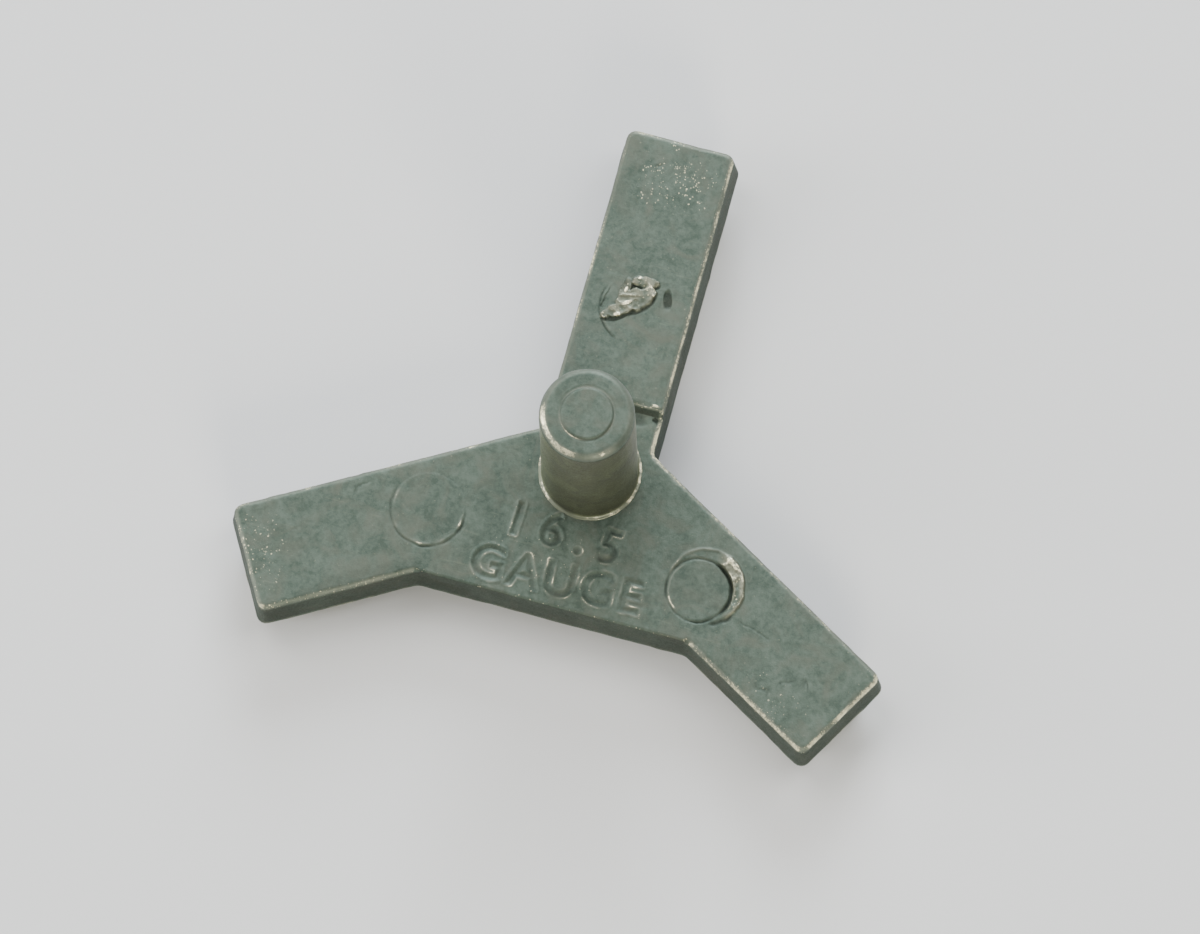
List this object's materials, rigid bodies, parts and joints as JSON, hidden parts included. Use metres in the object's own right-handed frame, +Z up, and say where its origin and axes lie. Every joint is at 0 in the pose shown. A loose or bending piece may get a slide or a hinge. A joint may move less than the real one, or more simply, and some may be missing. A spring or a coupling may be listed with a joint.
{
  "type": "model railway track gauge",
  "caption": "Y-shaped cast metal track gauge: flat arms joined by a web, an upright grip knob, and slotted feet that hold model rails at the right distance.",
  "frame": {"origin": "on the knob's axis, in the plane of the feet's undersides", "axes": "+Z up along the knob's axis, +Y along the single arm, +X along the rails, towards the right paired arm"},
  "size_m": [0.0252, 0.022, 0.0114],
  "materials": {
    "cast_zinc": "as-cast zinc alloy, dull grey with a faint green-blue cast, rubbed bright on the edges"
  },
  "bodies": {
    "root": {"gauge_casting": "cast_zinc"}
  },
  "joints": []
}
